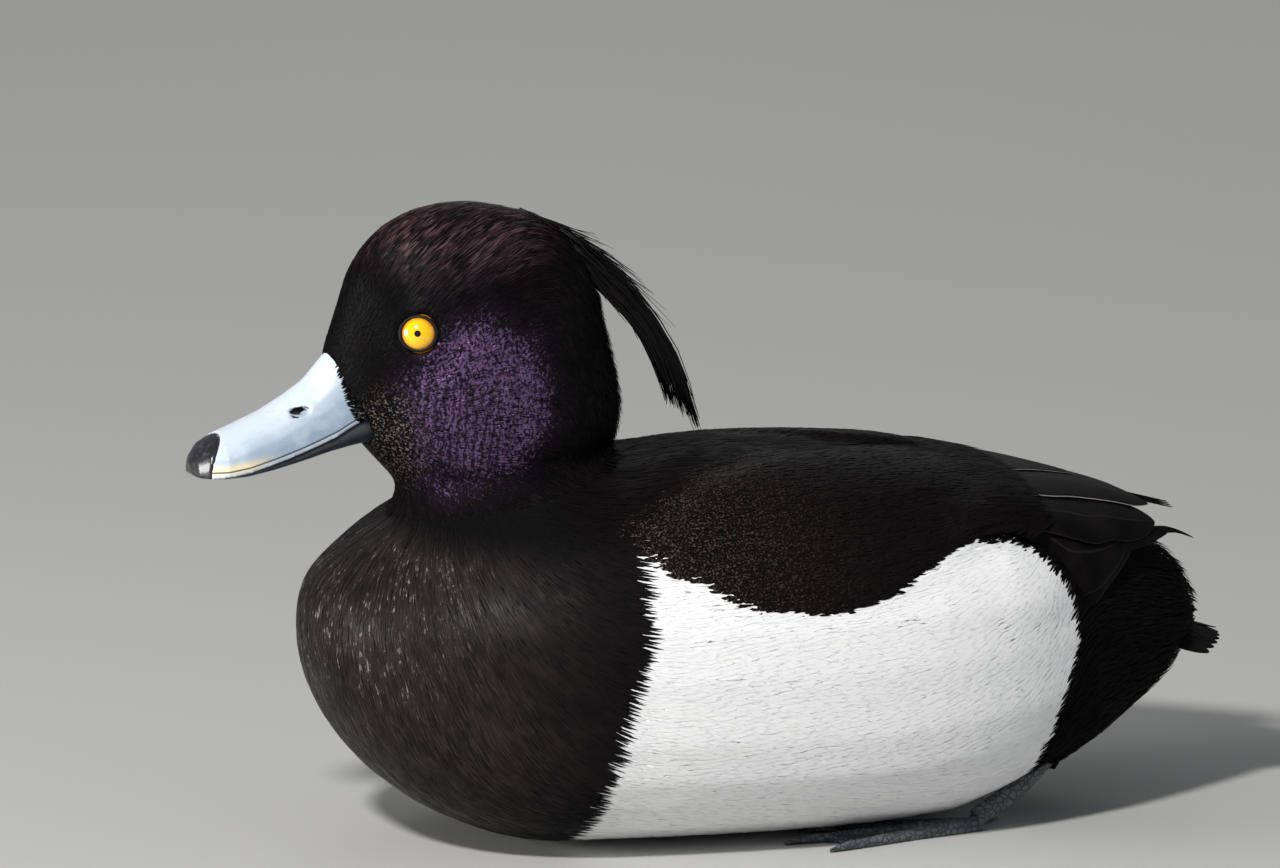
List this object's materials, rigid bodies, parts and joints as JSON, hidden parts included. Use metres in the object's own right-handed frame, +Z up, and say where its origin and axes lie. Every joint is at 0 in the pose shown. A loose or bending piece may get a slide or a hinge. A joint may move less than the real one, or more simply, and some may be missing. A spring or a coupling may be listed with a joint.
{
  "type": "tufted duck",
  "caption": "Male tufted duck as a life-size still model, sitting on its belly with closed wings, drooping crest and feet tucked under.",
  "frame": {"origin": "on the middle line, on the flat under the belly that the bird rests on", "axes": "the bird faces -X, +Z is up, its left side is towards -Y"},
  "size_m": [0.264, 0.1242, 0.1562],
  "materials": {
    "head": "black feathers with a purple gloss",
    "neck": "black feathers with a purple gloss",
    "crest": "long narrow black feathers",
    "eye": "golden yellow iris with a small black pupil",
    "upper_bill": "pale blue grey horn",
    "lower_bill": "dark horn with a pale edge",
    "bill_nail": "black horn",
    "breast": "brown black feathers",
    "back": "brown black feathers",
    "torso": "white flank and belly feathers",
    "rump": "black feathers",
    "tail": "black tail feathers",
    "wing": "brown black shoulder and flight feathers",
    "leg": "grey scaled skin with darker webs"
  },
  "bodies": {
    "root": {"head": "head", "neck": "neck", "crest": "crest", "eye_left": "eye", "eye_right": "eye", "upper_bill": "upper_bill", "lower_bill": "lower_bill", "bill_nail": "bill_nail", "breast": "breast", "back": "back", "torso": "torso", "rump": "rump", "tail": "tail", "wing_left": "wing", "wing_right": "wing", "leg_left": "leg", "leg_right": "leg"}
  },
  "joints": []
}
